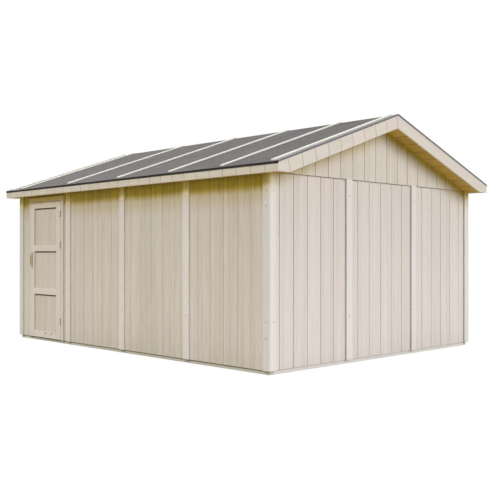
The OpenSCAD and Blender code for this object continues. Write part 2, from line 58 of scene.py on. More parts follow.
ARRIS = 0.0015          # planed edge of a board
SAWN_ARRIS = 0.001      # edge of a sawn timber
ROUNDED_ARRIS = 0.003   # edge of a batten and of a door's frame
END_GROOVE = 0.007      # open joint between two boards of an end wall
SIDE_GROOVE = 0.0045    # the same in a long wall
SOFFIT_GROOVE = 0.018   # the same in a soffit
HEAD_GAP = 0.004        # open joint over the boards of a wall
GROOVE_SLIP = 0.8       # depth of a joint for its width
LEAST_BOARD_W = 0.02    # narrowest strip left beside a joint
SHADE_TILT = 0.01              # how much higher the painted shade reaches for a metre towards the door side
FACING = 0.7            # least share of a direction in the normal of a face that looks that way
WELD = 1e-5             # corners closer than this are one

# Boards of each kind of wall: from the rear corner of the wall to the first joint, and the
# width that one board covers.
SIDE_FIRST, SIDE_PITCH = 0.284, 0.2078
END_FIRST, END_PITCH = 0.164, 0.2152
GABLE_FIRST, GABLE_PITCH = 0.061, 0.2136
DECK_PITCH = 0.2087     # roof and soffit boards, along the width of the building

# Jointed boards at the eaves and on the rear barge of the door side.
FASCIA_FIRST, FASCIA_PITCH = 0.158, 0.2079
BARGE_FIRST, BARGE_PITCH = 0.04, 0.2035
BUTT_GAP = 0.0045       # open butt joint between two lengths
BUTT_LEAN = 0.2         # sideways run of a barge joint over its height

FELT_T = 0.005
FELT_ROWS = 36          # steps of the felt down a slope
FELT_STEP = 0.06        # longest step of the felt along the eave
FELT_BENDS = (0.003, 0.0008)    # how far from the eave the felt bends down, in two steps
FELT_ROUND = 0.0015     # how far it has come down at the eave
FELT_TURN = 0.004       # thickness of the felt where it is turned down
FELT_LIP = 0.016        # depth of the felt turned down at the verge
FELT_DRIP = 0.024       # depth of the felt turned down at the eave
FELT_WAVE = 0.0012      # how far the felt dips between its fixings
FELT_CALM = 0.1         # the felt lies flat nearer than this to its edges
VERGE_RISE = 0.005      # how far the felt climbs from the last batten to the verge

NAIL_R = 0.0022
SCREW_R = 0.0065
HEAD_RISE = 0.0008      # how far a nail or screw head stands off the timber
HEAD_ROOT = 0.001       # how far it reaches in
HEAD_TAPER = 0.8        # top of a head for its foot
HEAD_RIM = 0.35         # rim around a screw's recess for its radius
SCREW_HEIGHTS = (0.533, 1.863)
NAIL_EDGE = 0.022       # from the end of a board to its outer nails
COLLAR_R = 0.0074       # dark ring at each end of a hinge
COLLAR_H = 0.006

X = Vector((1, 0, 0))
Y = Vector((0, 1, 0))
Z = Vector((0, 0, 1))


def roof_z(x):
    """Height of the felt over x."""
    return RIDGE_Z - SLOPE * abs(x)


# ---- finishes ------------------------------------------------------------------

def tone(red, green, blue):
    """Linear colour from the three numbers of a colour card, 0 to 255."""
    def linear(value):
        share = value / 255
        return share / 12.92 if share <= 0.04045 else ((share + 0.055) / 1.055) ** 2.4
    return (linear(red), linear(green), linear(blue), 1.0)


def add(tree, kind, inputs=(), **settings):
    """Adds a shader node; inputs are (socket, value or output to link)."""
    node = tree.nodes.new(kind)
    for name, value in settings.items():
        setattr(node, name, value)
    for socket, value in dict(inputs).items():
        if isinstance(value, bpy.types.NodeSocket):
            tree.links.new(value, node.inputs[socket])
        else:
            node.inputs[socket].default_value = value
    return node


def maths(tree, operation, first, second=0.0, third=0.0, clamp=False):
    """One Math node, returned by its output."""
    inputs = {0: first, 1: second, 2: third}
    return add(tree, "ShaderNodeMath", inputs, operation=operation, use_clamp=clamp).outputs[0]


def ramp(tree, value, low, high, to_low=0.0, to_high=1.0):
    """Smoothly turns low..high into to_low..to_high."""
    inputs = {"Value": value, "From Min": low, "From Max": high, "To Min": to_low, "To Max": to_high}
    return add(tree, "ShaderNodeMapRange", inputs, interpolation_type="SMOOTHSTEP").outputs[0]


def blend(tree, share, first, second, mode="MIX"):
    """Mixes two colours."""
    inputs = {0: share, 6: first, 7: second}
    return add(tree, "ShaderNodeMix", inputs, data_type="RGBA", blend_type=mode).outputs[2]


def off_centre(tree, value, amount):
    """How far a value of 0 to 1 lies from its middle, times an amount."""
    return maths(tree, "MULTIPLY", maths(tree, "SUBTRACT", value, 0.5), amount)


def written(tree, name, output="Fac"):
    """A value that the mesh carries."""
    return add(tree, "ShaderNodeAttribute", attribute_name=name).outputs[output]


def stretched_noise(tree, place, stretch, detail=3.0, roughness=0.55):
    """Noise drawn out along the grain."""
    scaled = add(tree, "ShaderNodeVectorMath", {0: place, 1: stretch}, operation="MULTIPLY")
    inputs = {"Vector": scaled.outputs[0], "Scale": 1.0, "Detail": detail, "Roughness": roughness}
    return add(tree, "ShaderNodeTexNoise", inputs).outputs["Fac"]


def new_group(name, takes, gives):
    """A shader node group with named sockets; returns its tree, inputs and outputs."""
    tree = bpy.data.node_groups.new(name, "ShaderNodeTree")
    kinds = {"c": "NodeSocketColor", "f": "NodeSocketFloat", "v": "NodeSocketVector"}
    for socket, kind in takes:
        tree.interface.new_socket(socket, in_out="INPUT", socket_type=kinds[kind])
    for socket, kind in gives:
        tree.interface.new_socket(socket, in_out="OUTPUT", socket_type=kinds[kind])
    given = tree.nodes.new("NodeGroupInput").outputs
    result = tree.nodes.new("NodeGroupOutput").inputs
    return tree, given, result


def knots_group():
    """Where knots are: scattered ones, and the pair that a board may carry."""
    tree, given, result = new_group("knots", [("Share", "f")], [("Near", "f"), ("Inside", "f")])
    grain = add(tree, "ShaderNodeSeparateXYZ", {0: written(tree, "grain", "Vector")}).outputs
    pair = add(tree, "ShaderNodeSeparateXYZ", {0: written(tree, "knot", "Vector")}).outputs

    flat = add(tree, "ShaderNodeCombineXYZ", {0: grain[0], 1: grain[2]}).outputs[0]
    cells = add(tree, "ShaderNodeTexVoronoi", {"Vector": flat, "Scale": 3.1}, voronoi_dimensions="2D")
    draw = add(tree, "ShaderNodeSeparateColor", {0: cells.outputs["Color"]}).outputs[0]
    kept = maths(tree, "LESS_THAN", draw, given["Share"])
    away = cells.outputs["Distance"]
    near = maths(tree, "MULTIPLY", ramp(tree, away, 0.02, 0.26, 1, 0), kept)
    inside = maths(tree, "MULTIPLY", ramp(tree, away, 0.022, 0.04, 1, 0), kept)

    sideways = maths(tree, "SUBTRACT", grain[0], pair[0])
    lengthways = maths(tree, "ABSOLUTE", maths(tree, "SUBTRACT", grain[2], pair[2]))
    lengthways = maths(tree, "MULTIPLY", maths(tree, "SUBTRACT", lengthways, pair[1]), 0.75)
    offset = add(tree, "ShaderNodeCombineXYZ", {0: sideways, 1: lengthways}).outputs[0]
    away = add(tree, "ShaderNodeVectorMath", {0: offset}, operation="LENGTH").outputs["Value"]
    near = maths(tree, "MAXIMUM", near, ramp(tree, away, 0.008, 0.07, 1, 0))
    inside = maths(tree, "MAXIMUM", inside, ramp(tree, away, 0.008, 0.014, 1, 0))
    tree.links.new(near, result["Near"])
    tree.links.new(inside, result["Inside"])
    return tree


knots = knots_group()


def timber_figure_group():
    """Growth rings, fibres, knots and end grain, laid along each board."""
    takes = [("Pale", "c"), ("Dark", "c"), ("Knot", "c"), ("Figure", "f"), ("Knots", "f"),
             ("Spread", "f"), ("Hue", "f")]
    gives = [("Color", "c"), ("Roughness", "f"), ("Height", "f")]
    tree, given, result = new_group("timber_figure", takes, gives)
    grain = written(tree, "grain", "Vector")
    shade = written(tree, "shade")
    knotty = add(tree, "ShaderNodeGroup", {"Share": given["Knots"]}, node_tree=knots).outputs

    # Contour lines of a drawn-out noise are the growth rings of a flat-sawn board.
    broad = stretched_noise(tree, grain, (7, 7, 0.5), 1.5)
    bent = maths(tree, "MULTIPLY_ADD", knotty["Near"], 0.16, broad)
    rings = maths(tree, "SINE", maths(tree, "MULTIPLY", bent, 95.0))
    late_wood = maths(tree, "POWER", maths(tree, "MULTIPLY_ADD", rings, 0.5, 0.5), 2.2)
    fibres = stretched_noise(tree, grain, (260, 260, 5), 4.0, 0.65)
    streaks = stretched_noise(tree, grain, (34, 34, 0.5), 2.0)
    bands = stretched_noise(tree, grain, (13, 13, 0.2), 2.0)
    patches = stretched_noise(tree, grain, (3.2, 3.2, 0.7), 3.0)

    darkness = maths(tree, "MULTIPLY", late_wood, 0.35)
    darkness = maths(tree, "ADD", darkness, off_centre(tree, fibres, 0.9))
    darkness = maths(tree, "ADD", darkness, off_centre(tree, streaks, 1.5))
    darkness = maths(tree, "ADD", darkness, off_centre(tree, bands, 1.8))
    darkness = maths(tree, "ADD", darkness, off_centre(tree, patches, 0.7))
    darkness = maths(tree, "MULTIPLY_ADD", darkness, given["Figure"], 0.2, clamp=True)
    wood = blend(tree, darkness, given["Pale"], given["Dark"])

    # Boards differ a little in shade, and lean towards pink or towards green.
    light = maths(tree, "ADD", off_centre(tree, shade, given["Spread"]), 1.0)
    lean = off_centre(tree, maths(tree, "FRACT", maths(tree, "MULTIPLY", shade, 7.3)), given["Hue"])
    red = maths(tree, "ADD", light, lean)
    green = maths(tree, "MULTIPLY_ADD", lean, -0.6, light)
    cast = add(tree, "ShaderNodeCombineColor", {0: red, 1: green, 2: light}).outputs[0]
    wood = blend(tree, 1.0, wood, cast, "MULTIPLY")
    wood = blend(tree, maths(tree, "MULTIPLY", knotty["Inside"], 0.9), wood, given["Knot"])
    wood = blend(tree, maths(tree, "MULTIPLY", written(tree, "cut_end"), 0.45), wood, given["Dark"])
    tree.links.new(wood, result["Color"])

    rough = maths(tree, "MULTIPLY_ADD", fibres, 0.25, 0.5)
    tree.links.new(maths(tree, "MULTIPLY_ADD", knotty["Inside"], -0.15, rough), result["Roughness"])
    relief = maths(tree, "MULTIPLY_ADD", late_wood, 0.35, fibres)
    tree.links.new(maths(tree, "MULTIPLY_ADD", knotty["Inside"], -0.4, relief), result["Height"])
    return tree


def painted_shade_and_splash_group():
    """Painted shade and weather on the outside: timber under the roof gets a golden painted shade, walls a
    painted gradient of light by height, and rain wets the foot of a wall.
    """
    takes = [("Color", "c"), ("Painted_shade_tone", "c"), ("Painted_shade_share", "f"), ("Reach", "f"), ("Fade", "f"),
             ("Splash", "f"), ("Painted_height_shade", "f")]
    tree, given, result = new_group("painted_shade_and_splash", takes, [("Color", "c")])

    # The painted shade ends at another height in each board and streak, and higher up in the end walls.
    streaks = stretched_noise(tree, written(tree, "grain", "Vector"), (24, 24, 0.25), 3.0)
    uneven = off_centre(tree, written(tree, "shade"), 0.1)
    uneven = maths(tree, "ADD", off_centre(tree, streaks, 0.3), uneven)
    uneven = maths(tree, "MULTIPLY_ADD", written(tree, "end_face"), 0.46, uneven)
    below = maths(tree, "MULTIPLY_ADD", uneven, given["Fade"], written(tree, "under_cover"))
    end = maths(tree, "ADD", given["Reach"], given["Fade"])
    shade_core = ramp(tree, below, given["Reach"], end, 1, 0)
    shade_tail = ramp(tree, below, given["Reach"], maths(tree, "ADD", end, given["Fade"]), 0.5, 0)
    share = maths(tree, "MULTIPLY", maths(tree, "MAXIMUM", shade_core, shade_tail), given["Painted_shade_share"])
    knotty = add(tree, "ShaderNodeGroup", {"Share": 0.0}, node_tree=knots).outputs
    share = maths(tree, "MULTIPLY", share, maths(tree, "SUBTRACT", 1.0, knotty["Inside"]))

    # The painted shade is darkest right under the soffit.
    corner = maths(tree, "MULTIPLY_ADD", written(tree, "end_face"), 0.05, written(tree, "under_cover"))
    light = maths(tree, "MULTIPLY", ramp(tree, streaks, 0.3, 0.7, 0.8, 1.2),
                  ramp(tree, corner, 0.09, 0.24, 0.45, 1.0))
    cast = add(tree, "ShaderNodeCombineColor", {0: light, 1: light, 2: light}).outputs[0]

    # Painted light and shade by height: a wall is painted lighter towards its foot, and darker and warmer
    # near the roof.
    height = ramp(tree, written(tree, "above_ground"), 0.2, 2.4)
    height_shaded_wood = blend(tree, height, (1.035, 1.035, 1.045, 1), (0.91, 0.905, 0.885, 1))
    height_shaded_wood = blend(tree, 1.0, given["Color"], height_shaded_wood, "MULTIPLY")
    wood = blend(tree, given["Painted_height_shade"], given["Color"], height_shaded_wood)
    wood = blend(tree, share, wood, blend(tree, 1.0, given["Painted_shade_tone"], cast, "MULTIPLY"))

    splash = maths(tree, "MULTIPLY", ramp(tree, written(tree, "above_ground"), 0.02, 0.3, 1, 0),
                   given["Splash"])
    splash = maths(tree, "MULTIPLY", splash, maths(tree, "ADD", streaks, 0.4))
    wood = blend(tree, splash, wood, tone(160, 154, 142))
    tree.links.new(wood, result["Color"])
    return tree


def speckle_group():
    """Fine two-tone speckle with slow blotches, for felt, zinc and brass."""
    takes = [("Base", "c"), ("Fleck", "c"), ("Scale", "f"), ("Blotch", "f")]
    tree, given, result = new_group("speckle", takes, [("Color", "c"), ("Height", "f"), ("Patch", "f")])
    place = add(tree, "ShaderNodeTexCoord").outputs["Object"]
    fine = add(tree, "ShaderNodeTexNoise", {"Vector": place, "Scale": given["Scale"], "Detail": 2.0,
                                            "Roughness": 0.7}).outputs["Fac"]
    slow = add(tree, "ShaderNodeTexNoise", {"Vector": place, "Scale": given["Blotch"], "Detail": 4.0,
                                            "Roughness": 0.6}).outputs["Fac"]
    share = maths(tree, "MULTIPLY_ADD", ramp(tree, slow, 0.3, 0.7), 0.3,
                  ramp(tree, fine, 0.35, 0.65, -0.1, 0.75))
    tree.links.new(blend(tree, share, given["Base"], given["Fleck"]), result["Color"])
    tree.links.new(fine, result["Height"])
    tree.links.new(slow, result["Patch"])
    return tree


timber_figure = timber_figure_group()
painted_shade_and_splash = painted_shade_and_splash_group()
speckle = speckle_group()


def finish(name):
    """An empty material with its Principled shader."""
    material = bpy.data.materials.new(name)
    material.use_nodes = True
    return material, material.node_tree, material.node_tree.nodes["Principled BSDF"]


def raise_surface(tree, shader, height, strength, distance):
    """Fine relief, by a bump."""
    bump = add(tree, "ShaderNodeBump", {"Height": height, "Strength": strength, "Distance": distance})
    tree.links.new(bump.outputs[0], shader.inputs["Normal"])


def timber_finish(name, pale, dark, knot=(120, 88, 58), figure=0.5, knots=0.05, spread=0.05, hue=0.03,
                  painted_shade_share=0.0, reach=0.27, fade=0.09, splash=0.0, painted_shade_tone=(222, 186, 84), painted_height_shade=0.0,
                  relief=0.5):
    """Softwood in two tones, with its knots, its painted shade and the rain on it."""
    material, tree, shader = finish(name)
    wood = add(tree, "ShaderNodeGroup", {}, node_tree=timber_figure)
    for socket, value in {"Pale": tone(*pale), "Dark": tone(*dark), "Knot": tone(*knot), "Figure": figure,
                          "Knots": knots, "Spread": spread, "Hue": hue}.items():
        wood.inputs[socket].default_value = value
    shade_and_splash_node = add(tree, "ShaderNodeGroup", {}, node_tree=painted_shade_and_splash)
    for socket, value in {"Painted_shade_tone": tone(*painted_shade_tone), "Painted_shade_share": painted_shade_share, "Reach": reach,
                          "Fade": fade, "Splash": splash, "Painted_height_shade": painted_height_shade}.items():
        shade_and_splash_node.inputs[socket].default_value = value
    tree.links.new(wood.outputs["Color"], shade_and_splash_node.inputs["Color"])
    tree.links.new(shade_and_splash_node.outputs["Color"], shader.inputs["Base Color"])
    tree.links.new(wood.outputs["Roughness"], shader.inputs["Roughness"])
    raise_surface(tree, shader, wood.outputs["Height"], relief, 0.0006)
    return material


def speckled_finish(name, base, fleck, scale, blotch, roughness, metal=0.0, relief=0.4, shine=0.5):
    """Felt, zinc or brass with its fine texture."""
    material, tree, shader = finish(name)
    surface = add(tree, "ShaderNodeGroup", {}, node_tree=speckle)
    for socket, value in {"Base": tone(*base), "Fleck": tone(*fleck), "Scale": scale,
                          "Blotch": blotch}.items():
        surface.inputs[socket].default_value = value
    tree.links.new(surface.outputs["Color"], shader.inputs["Base Color"])
    low, high = roughness
    tree.links.new(ramp(tree, surface.outputs["Patch"], 0.3, 0.7, low, high), shader.inputs["Roughness"])
    shader.inputs["Metallic"].default_value = metal
    shader.inputs["Specular IOR Level"].default_value = shine
    raise_surface(tree, shader, surface.outputs["Height"], relief, 0.0008)
    return material


GOLDEN_SHADE = (175, 150, 20)     # painted shade on boards under the roof
STRAW_SHADE = (204, 183, 88)      # painted shade on planed trims under the roof
MOSSY_SHADE = (146, 144, 46)      # painted olive shade in the joint over a sill and on the door's threshold

# Walls, trims, casing and door are painted a golden shade under the roof and eaves, fading with depth below
# it.
rear_boarding = timber_finish("rear_boarding", (230, 222, 218), (208, 198, 191), knots=0.0, hue=0.02,
                              splash=0.05, painted_height_shade=1.0, painted_shade_tone=GOLDEN_SHADE, painted_shade_share=0.95, reach=0.223, fade=0.11)
# The gable boards are a darker, yellower copy of the wall boards: partly a less weathered tone, partly
# painted shade under the verges.
gable_timber = timber_finish("gable_timber", (217, 210, 200), (195, 186, 173), knots=0.0,
                             painted_shade_tone=GOLDEN_SHADE, painted_shade_share=0.95, reach=0.223, fade=0.11)
side_boarding = timber_finish("side_boarding", (233, 225, 214), (203, 189, 171), knots=0.0, splash=0.06,
                              hue=0.015, painted_height_shade=1.0, painted_shade_tone=GOLDEN_SHADE, painted_shade_share=1.0, reach=0.251, fade=0.155)
rear_trim = timber_finish("rear_trim", (237, 232, 232), (219, 211, 206), (206, 192, 176), 0.4, spread=0.03,
                          painted_shade_tone=STRAW_SHADE, painted_shade_share=0.9, reach=0.212, fade=0.12, painted_height_shade=0.8)
side_trim = timber_finish("side_trim", (244, 238, 235), (224, 214, 205), (210, 198, 182), 0.4, spread=0.03,
                          painted_shade_tone=STRAW_SHADE, painted_shade_share=1.0, reach=0.219, fade=0.13, painted_height_shade=1.0)
corner_trim = timber_finish("corner_trim", (234, 232, 229), (216, 211, 201), (200, 190, 174), 0.4,
                            spread=0.03, hue=0.0, painted_shade_tone=STRAW_SHADE, painted_shade_share=1.0, reach=0.219, fade=0.13,
                            painted_height_shade=0.8)
barge_trim = timber_finish("barge_trim", (226, 217, 208), (206, 196, 184), figure=0.4, knots=0.0)
eave_trim = timber_finish("eave_trim", (230, 221, 206), (210, 197, 177), figure=0.45, hue=0.02)
# The casing and the top of the door get a yellow painted shade under the eave.
casing_timber = timber_finish("casing_timber", (237, 229, 219), (215, 204, 189), (170, 150, 120), 0.4,
                              spread=0.03, hue=0.01, painted_shade_tone=(196, 172, 84), painted_shade_share=1.0, reach=0.195,
                              fade=0.15, painted_height_shade=1.0)
door_timber = timber_finish("door_timber", (240, 231, 222), (218, 206, 193), (92, 74, 50), 0.4,
                            spread=0.03, hue=0.01, painted_shade_tone=(184, 160, 92), painted_shade_share=0.8, reach=0.215,
                            fade=0.09, painted_height_shade=1.0)
# Door and gate panels carry a painted shadow line, dark olive, right under each rail.
panel_timber = timber_finish("panel_timber", (227, 220, 208), (199, 189, 171), knots=0.0, spread=0.03,
                             hue=0.0, painted_shade_tone=(118, 106, 46), painted_shade_share=1.0, reach=0.014, fade=0.008,
                             painted_height_shade=1.0)
sawn_timber = timber_finish("sawn_timber", (206, 184, 146), (168, 138, 94), knots=0.3, spread=0.12,
                            figure=0.7, relief=0.9)
# The soffit boards are a deep golden brown: partly the raw timber's own warmer tone, partly painted shade
# under the eaves.
soffit_timber = timber_finish("soffit_timber", (201, 167, 70), (170, 130, 38), knots=0.15, spread=0.17)
# Sills carry a thin painted shade line along their top, under the foot of the boards.
side_sill_timber = timber_finish("side_sill_timber", (226, 222, 212), (200, 194, 178), spread=0.05,
                                 painted_shade_tone=MOSSY_SHADE, painted_shade_share=1.0, reach=0.008, fade=0.006)
end_sill_timber = timber_finish("end_sill_timber", (230, 228, 222), (206, 202, 194), spread=0.05,
                                painted_shade_tone=(150, 146, 138), painted_shade_share=0.8, reach=0.004, fade=0.006)
# The door's threshold is painted in the olive shade tone, as the shade under the door.
threshold_shade_timber = timber_finish("threshold_shade_timber", MOSSY_SHADE, (120, 114, 60), spread=0.05)
white_paint = timber_finish("white_paint", (253, 253, 244), (246, 245, 232), figure=0.35, knots=0.0,
                            relief=0.25)
felt_face = speckled_finish("felt_face", (94, 92, 95), (138, 135, 136), 420, 1.6, (0.85, 0.95), shine=0.15)
felt_edge = speckled_finish("felt_edge", (20, 18, 11), (40, 36, 26), 300, 6, (0.6, 0.8))
felt_fold = speckled_finish("felt_fold", (112, 106, 110), (148, 141, 146), 300, 6, (0.6, 0.8))
# Paler felt for the strips at the verges: a painted sheen of felt seen edge-on.
felt_verge_sheen = speckled_finish("felt_verge_sheen", (150, 146, 150), (190, 186, 190), 420, 1.6, (0.8, 0.9),
                             shine=0.15)
nail_head = speckled_finish("nail_head", (190, 183, 172), (206, 199, 188), 900, 60, (0.45, 0.6), 0.2, 0.1)
zinc = speckled_finish("zinc", (206, 198, 184), (222, 214, 202), 900, 60, (0.35, 0.6), 0.1, 0.1)
dark_iron = speckled_finish("dark_iron", (54, 50, 42), (80, 74, 62), 900, 60, (0.4, 0.65), 0.3, 0.1)
plate_bronze = speckled_finish("plate_bronze", (176, 164, 146), (196, 186, 170), 700, 50, (0.4, 0.6),
                               0.2, 0.1)
brass = speckled_finish("brass", (196, 188, 128), (160, 152, 98), 500, 50, (0.3, 0.5), 0.3, 0.1)


# ---- boards --------------------------------------------------------------------

NO_KNOT = Vector((-9, 0, 0))


class Boards:
    """The boards of one piece. Each keeps its own run of grain and its own shade."""

    def __init__(self):
        self.points = []
        self.faces = []
        self.values = {"grain": [], "knot": [], "shade": [], "under_cover": [], "above_ground": []}
        self.cut_end = []
        self.end_face = []

    def add(self, shape, along, across, knot_pair=None, cover=None):
        """Takes in one board from a bmesh.

        knot_pair is a place and half the space between two knots. cover is the height that the
        painted shade is measured down from, and is the roof's if left out.
        """
        third = along.cross(across)
        shift = Vector([chance.uniform(0, 40) for _ in range(3)])
        shade = chance.random()
        knot = NO_KNOT
        if knot_pair:
            middle, half = knot_pair
            knot = Vector((middle.dot(across) + shift.x, half, middle.dot(along) + shift.z))
        start = len(self.points)
        shape.verts.index_update()
        for vert in shape.verts:
            place = vert.co
            self.points.append(tuple(place))
            self.values["grain"].extend(
                Vector((place.dot(across), place.dot(third), place.dot(along))) + shift)
            self.values["knot"].extend(knot)
            self.values["shade"].append(shade)
            shade_line = roof_z(place.x) + SHADE_TILT * place.x if cover is None else cover
            self.values["under_cover"].append(shade_line - place.z)
            self.values["above_ground"].append(place.z)
        for face in shape.faces:
            self.faces.append([start + vert.index for vert in face.verts])
            self.cut_end.append(1.0 if abs(face.normal.dot(along)) > FACING else 0.0)
            self.end_face.append(1.0 if abs(face.normal.y) > FACING else 0.0)
        shape.free()

    def piece(self, name, body, slot, material, nodes=()):
        """Makes the mesh, and lets it ride on its body in place of its nodes."""
        mesh = bpy.data.meshes.new(name)
        mesh.from_pydata(self.points, [], self.faces)
        for value, numbers in self.values.items():
            if value in ("grain", "knot"):
                mesh.attributes.new(value, "FLOAT_VECTOR", "POINT").data.foreach_set("vector", numbers)
            else:
                mesh.attributes.new(value, "FLOAT", "POINT").data.foreach_set("value", numbers)
        mesh.attributes.new("cut_end", "FLOAT", "FACE").data.foreach_set("value", self.cut_end)
        mesh.attributes.new("end_face", "FLOAT", "FACE").data.foreach_set("value", self.end_face)
        mesh.materials.append(material)
        mesh.update()
        piece = bpy.data.objects.new(name, mesh)
        bpy.context.scene.collection.objects.link(piece)
        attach(piece, body)
        if nodes:
            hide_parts(*nodes)


def break_edges(shape, arris):
    """Takes the sharpness off every edge of a solid."""
    bmesh.ops.bevel(shape, geom=shape.edges[:], offset=arris, offset_type="OFFSET", segments=2,
                    profile=0.5, affect="EDGES", clamp_overlap=True)
    shape.normal_update()


def solids_of(node):
    """The separate solids of a CAD node, each as a bmesh with whole flat faces."""
    whole = bmesh.new()
    whole.from_mesh(frame["nodes"][node].data)
    bmesh.ops.remove_doubles(whole, verts=whole.verts[:], dist=WELD)
    bmesh.ops.dissolve_limit(whole, angle_limit=math.radians(1), verts=whole.verts[:], edges=whole.edges[:])
    left = set(whole.faces)
    solids = []
    while left:
        island = [left.pop()]
        for face in island:
            for edge in face.edges:
                fresh = [other for other in edge.link_faces if other in left]
                island.extend(fresh)
                left.difference_update(fresh)
        solid = bmesh.new()
        copies = {}
        for face in island:
            for vert in face.verts:
                if vert not in copies:
                    copies[vert] = solid.verts.new(vert.co)
        for face in island:
            solid.faces.new([copies[vert] for vert in face.verts])
        bmesh.ops.recalc_face_normals(solid, faces=solid.faces[:])
        solids.append(solid)
    whole.free()
    return sorted(solids, key=lambda solid: tuple(extent(solid)[0]))


def extent(shape):
    """Lowest and highest corner of a bmesh."""
    low = Vector([min(vert.co[i] for vert in shape.verts) for i in range(3)])
    high = Vector([max(vert.co[i] for vert in shape.verts) for i in range(3)])
    return low, high


def extents_of(node):
    """Boxes of the separate solids of a CAD node."""
    boxes = []
    for solid in solids_of(node):
        boxes.append(extent(solid))
        solid.free()
    return boxes


def widest_across(shape, along):
    """The direction square to the grain in which a timber is widest."""
    first = X if abs(along.y) > 0.5 else Y
    second = along.cross(first)

    def width(way):
        places = [vert.co.dot(way) for vert in shape.verts]
        return max(places) - min(places)
    return max((first, second), key=width)


def cut_lengths(solid, cuts, gap):
    """Saws a solid at planes given by a point and a normal, leaving an open joint."""
    lengths = []
    for i in range(len(cuts) + 1):
        part = solid.copy()
        sides = []
        if i > 0:
            point, normal = cuts[i - 1]
            sides.append((point + normal * gap / 2, normal, False))
        if i < len(cuts):
            point, normal = cuts[i]
            sides.append((point - normal * gap / 2, normal, True))
        for point, normal, beyond in sides:
            everything = part.verts[:] + part.edges[:] + part.faces[:]
            done = bmesh.ops.bisect_plane(part, geom=everything, plane_co=point, plane_no=normal,
                                          clear_outer=beyond, clear_inner=not beyond)
            rim = [item for item in done["geom_cut"] if isinstance(item, bmesh.types.BMEdge)]
            if rim:
                bmesh.ops.contextual_create(part, geom=rim)
        if part.faces:
            bmesh.ops.recalc_face_normals(part, faces=part.faces[:])
            lengths.append(part)
        else:
            part.free()
    solid.free()
    return lengths


def holds(shape, place):
    """Whether a place lies in the box of a bmesh."""
    low, high = extent(shape)
    return all(low[i] <= place[i] <= high[i] for i in range(3))


def timber(node, material, along=Z, arris=ARRIS, body="garage", slot="trim_timber", cuts=(),
           knot_pairs=(), own_cover=False):
    """A piece for a CAD node: its timbers with broken edges and grain along their length.

    With own_cover, the painted shade is measured down from the top of each timber.
    """
    boards = Boards()
    for solid in solids_of(node):
        for part in cut_lengths(solid, cuts, BUTT_GAP):
            pair = next((pair for pair in knot_pairs if holds(part, pair[0])), None)
            across = widest_across(part, along)
            cover = extent(part)[1].z if own_cover else None
            break_edges(part, arris)
            boards.add(part, along, across, pair, cover)
    boards.piece("timber." + node, body, slot, material, [node])


# ---- tongued boards --------------------------------------------------------------

def tongued_outline(left, right, back, face, open_left, open_right, groove, kinks=()):
    """Cross-section of a board, with half a groove at each joint with a neighbour."""
    inside = [k for k in kinks if left + groove < k < right - groove]
    outline = [(left, back)] + [(k, back) for k in inside] + [(right, back)]
    half = groove / 2
    tongue = face - groove * GROOVE_SLIP - ARRIS
    if open_right:
        outline += [(right, tongue), (right - half, tongue)]
    edge = right - half if open_right else right
    outline += [(edge, face - ARRIS), (edge - ARRIS, face)]
    outline += [(k, face) for k in reversed(inside)]
    edge = left + half if open_left else left
    outline += [(edge + ARRIS, face), (edge, face - ARRIS)]
    if open_left:
        outline += [(left + half, tongue), (left, tongue)]
    return outline


def sawn_board(boards, outline, place, start, stop):
    """Draws a cross-section out from start to stop; both may change across the board."""
    shape = bmesh.new()
    near, far = ([shape.verts.new(place(a, b, end(a))) for a, b in outline] for end in (start, stop))
    for i in range(len(outline)):
        j = (i + 1) % len(outline)
        shape.faces.new((near[i], near[j], far[j], far[i]))
    shape.faces.new(near)
    shape.faces.new(far)
    bmesh.ops.recalc_face_normals(shape, faces=shape.faces[:])
    shape.normal_update()
    along = (place(0, 0, 1) - place(0, 0, 0)).normalized()
    across = (place(1, 0, 0) - place(0, 0, 0)).normalized()
    boards.add(shape, along, across)


def tongued_boards(boards, stops, place, back, face, start, stop, groove, kinks=()):
    """Boards side by side between the given stops."""
    for i in range(len(stops) - 1):
        outline = tongued_outline(stops[i], stops[i + 1], back, face, i > 0, i < len(stops) - 2, groove,
                                  kinks)
        sawn_board(boards, outline, place, start, stop)


def joints_between(left, right, first, pitch):
    """The two edges, and the joints between them that lie whole pitches from the first."""
    low = math.ceil((left + LEAST_BOARD_W - first) / pitch)
    high = math.floor((right - LEAST_BOARD_W - first) / pitch)
    return [left] + [first + i * pitch for i in range(low, high + 1)] + [right]


# Each wall: the way to the right seen from outside, the way out, and where boards are counted from.
WALLS = {
    "door_side": (Y, X, CORNER.y - SIDE_FIRST),
    "far_side": (-Y, -X, -CORNER.y + SIDE_FIRST),
    "rear": (-X, Y, -CORNER.x + END_FIRST),
    "front": (X, -Y, -CORNER.x + END_FIRST),
}


def on_wall(wall):
    """Places wall coordinates: to the right, outwards, up."""
    right, out, _ = WALLS[wall]
    return lambda a, b, c: right * a + out * b + Z * c


def wall_span(wall, low, high):
    """A box seen from outside: left, right, back, face."""
    right, out, _ = WALLS[wall]
    across = sorted((low.dot(right), high.dot(right)))
    depth = sorted((low.dot(out), high.dot(out)))
    return across + depth


